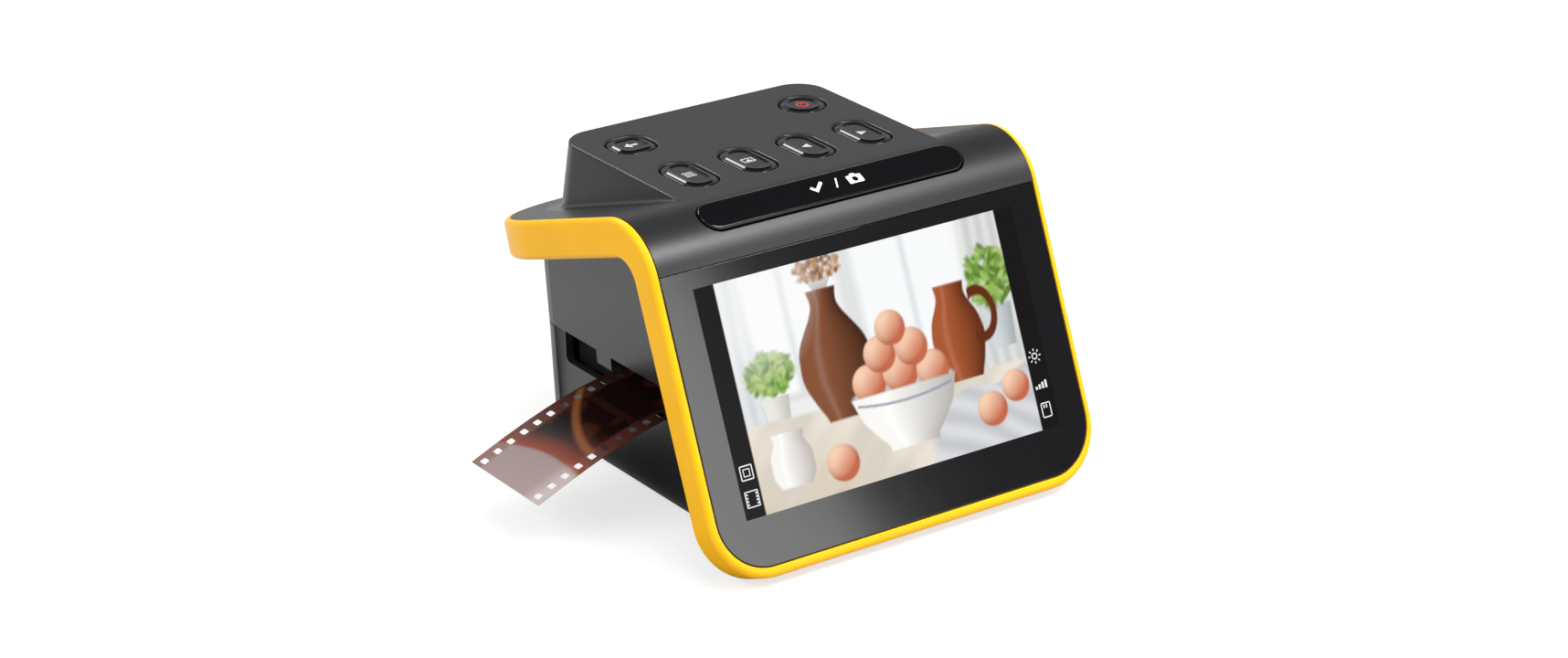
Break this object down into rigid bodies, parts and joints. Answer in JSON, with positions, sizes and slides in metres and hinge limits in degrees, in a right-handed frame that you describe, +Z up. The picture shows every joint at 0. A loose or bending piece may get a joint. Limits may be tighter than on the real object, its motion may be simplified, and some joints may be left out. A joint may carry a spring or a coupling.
{
  "type": "film negative scanner",
  "caption": "Desktop film scanner: a tilted screen and a control block on a hinged cover with a coloured edge band, over a narrow base with a film slot.",
  "frame": {"origin": "on the base's underside, straight below the lens and the film frame's centre", "axes": "+X to the right along the film's path, +Y to the rear, +Z up"},
  "size_m": [0.1609, 0.1391, 0.0953],
  "materials": {
    "satin_shell": "satin, fine moulded grain",
    "yellow_trim": "smooth, semi-gloss",
    "gloss_panel": "high gloss",
    "gloss_keys": "high gloss",
    "clear_window": "clear, smooth",
    "display": "dark display face",
    "inner_plastic": "fine matte",
    "circuit_board": "solder mask",
    "steel": "plain stamped",
    "rubber": "matte",
    "film": "glossy, see-through",
    "milky_plastic": "milky, diffusing"
  },
  "bodies": {
    "base": {"base_upper": "satin_shell", "base_lower": "satin_shell", "case_screw_1": "steel", "case_screw_2": "steel", "foot_1": "rubber", "foot_2": "rubber", "foot_3": "rubber", "foot_4": "rubber", "hinge_pin_left": "steel", "hinge_pin_right": "steel", "film_stage": "inner_plastic", "stage_glass": "clear_window", "light_box": "milky_plastic", "light_diffuser": "milky_plastic", "led_board": "circuit_board", "light_hood": "inner_plastic", "click_spring": "steel", "main_board": "circuit_board", "board_screw_1": "steel", "board_screw_2": "steel", "usb_c_port": "steel", "video_port": "steel", "card_slot": "steel"},
    "cover": {"cover_shell": "satin_shell", "trim_band": "yellow_trim", "screen_panel": "gloss_panel", "screen_window": "clear_window", "display_module": "display", "display_bracket": "steel", "display_screw_1": "steel", "display_screw_2": "steel", "display_screw_3": "steel", "display_screw_4": "steel", "cover_liner": "inner_plastic", "key_board": "circuit_board", "bar_board": "circuit_board", "camera_carrier": "inner_plastic", "carrier_screw_1": "steel", "carrier_screw_2": "steel", "carrier_screw_3": "steel", "carrier_screw_4": "steel", "sensor_board": "circuit_board", "lens_holder": "inner_plastic", "lens_barrel": "inner_plastic", "lens_glass": "clear_window"},
    "tray": {"tray_base": "inner_plastic", "tray_lid": "inner_plastic", "tray_pin": "steel"},
    "film": {"film_strip": "film"},
    "back_key_cap": {"back_key": "gloss_keys"},
    "power_key_cap": {"power_key": "gloss_keys"},
    "menu_key_cap": {"menu_key": "gloss_keys"},
    "gallery_key_cap": {"gallery_key": "gloss_keys"},
    "left_key_cap": {"left_key": "gloss_keys"},
    "right_key_cap": {"right_key": "gloss_keys"},
    "ok_bar_cap": {"ok_bar": "gloss_keys"}
  },
  "joints": [
    {"name": "cover_hinge", "type": "hinge", "parent": "base", "child": "cover", "pos_m": [0, 0.062, 0.05351], "axis": [-1, 0, 0], "range_deg": [0, 60]},
    {"name": "tray_slide", "type": "slide", "parent": "base", "child": "tray", "axis": [-1, 0, 0], "range_m": [0, 0.07]},
    {"name": "film_feed", "type": "slide", "parent": "tray", "child": "film", "axis": [-1, 0, 0], "range_m": [0, 0.038]},
    {"name": "back_key_press", "type": "slide", "parent": "cover", "child": "back_key_cap", "axis": [0, 0, -1], "range_m": [0, 0.0008], "stiffness_N_per_m": 700},
    {"name": "power_key_press", "type": "slide", "parent": "cover", "child": "power_key_cap", "axis": [0, 0, -1], "range_m": [0, 0.0008], "stiffness_N_per_m": 700},
    {"name": "menu_key_press", "type": "slide", "parent": "cover", "child": "menu_key_cap", "axis": [0, 0, -1], "range_m": [0, 0.0008], "stiffness_N_per_m": 700},
    {"name": "gallery_key_press", "type": "slide", "parent": "cover", "child": "gallery_key_cap", "axis": [0, 0, -1], "range_m": [0, 0.0008], "stiffness_N_per_m": 700},
    {"name": "left_key_press", "type": "slide", "parent": "cover", "child": "left_key_cap", "axis": [0, 0, -1], "range_m": [0, 0.0008], "stiffness_N_per_m": 700},
    {"name": "right_key_press", "type": "slide", "parent": "cover", "child": "right_key_cap", "axis": [0, 0, -1], "range_m": [0, 0.0008], "stiffness_N_per_m": 700},
    {"name": "ok_bar_press", "type": "slide", "parent": "cover", "child": "ok_bar_cap", "axis": [0, 0.4226, -0.9063], "range_m": [0, 0.0008], "stiffness_N_per_m": 1200}
  ]
}
